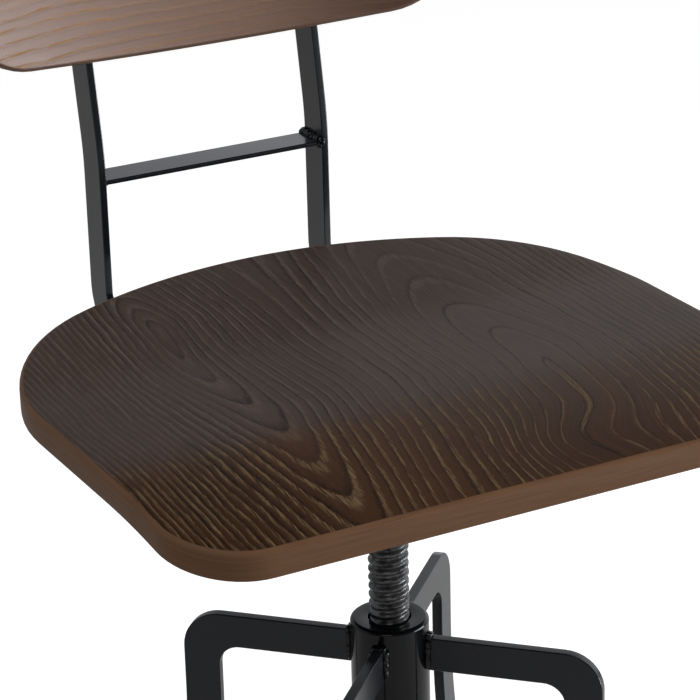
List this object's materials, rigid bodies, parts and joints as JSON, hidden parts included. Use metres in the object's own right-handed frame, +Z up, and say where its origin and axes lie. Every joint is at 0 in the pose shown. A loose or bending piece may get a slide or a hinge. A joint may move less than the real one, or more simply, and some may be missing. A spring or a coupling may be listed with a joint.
{
  "type": "bar chair",
  "caption": "Bar chair with a bent plywood seat and backrest on a black steel frame; turning the seat raises it on a screw in the splayed-leg base, which has a foot ring.",
  "frame": {"origin": "on the floor, under the middle of the chair's box", "axes": "+Z up, -Y the way the sitter faces, +X to the sitter's left; the swivel axis is upright at x = 0, y = -0.052"},
  "size_m": [0.4294, 0.4606, 1.0094],
  "materials": {
    "black_steel": "satin black powder coat",
    "seat_wood": "dark brown stained open-pore ash veneer, satin lacquer",
    "back_wood": "brown stained open-pore ash veneer, satin lacquer",
    "screw_steel": "dark oiled steel",
    "bronze": "turned bearing bronze",
    "zinc_steel": "zinc plated",
    "black_screws": "black oxide",
    "brass": "turned brass",
    "black_plastic": "moulded, fine grain"
  },
  "bodies": {
    "base": {"hub_cap": "black_steel", "hub_tube": "black_steel", "hub_nut": "bronze", "hub_plug": "black_plastic", "leg_front_left": "black_steel", "foot_cap_front_left": "black_plastic", "leg_front_right": "black_steel", "foot_cap_front_right": "black_plastic", "leg_rear_right": "black_steel", "foot_cap_rear_right": "black_plastic", "leg_rear_left": "black_steel", "foot_cap_rear_left": "black_plastic", "foot_ring": "black_steel", "hub_welds": "black_steel", "ring_welds": "black_steel"},
    "stop": {"stop_washer": "zinc_steel"},
    "seat_unit": {"lift_screw": "screw_steel", "stop_bolt": "zinc_steel", "screw_socket": "black_steel", "socket_pin": "zinc_steel", "socket_weld": "black_steel", "back_upright_left": "black_steel", "back_upright_right": "black_steel", "back_crossbar": "black_steel", "crossbar_welds": "black_steel", "seat_plate": "black_steel", "plate_welds": "black_steel", "seat": "seat_wood", "seat_bolts": "zinc_steel", "seat_washers": "zinc_steel", "seat_inserts": "brass", "bracket_left": "black_steel", "bracket_right": "black_steel", "bracket_welds": "black_steel", "backrest": "back_wood", "back_screws": "black_screws", "back_inserts": "brass"}
  },
  "joints": [
    {"name": "lift", "type": "slide", "parent": "base", "child": "stop", "axis": [0, 0, 1], "range_m": [-0.1155, 0.0615]},
    {"name": "turn", "type": "hinge", "parent": "stop", "child": "seat_unit", "pos_m": [0, -0.052, 0.548], "axis": [0, 0, 1], "range_deg": [-6930, 3690]}
  ],
  "couplings": [
    {"joint": "lift", "follows": "turn", "m_per_rad": 0.00095493}
  ]
}
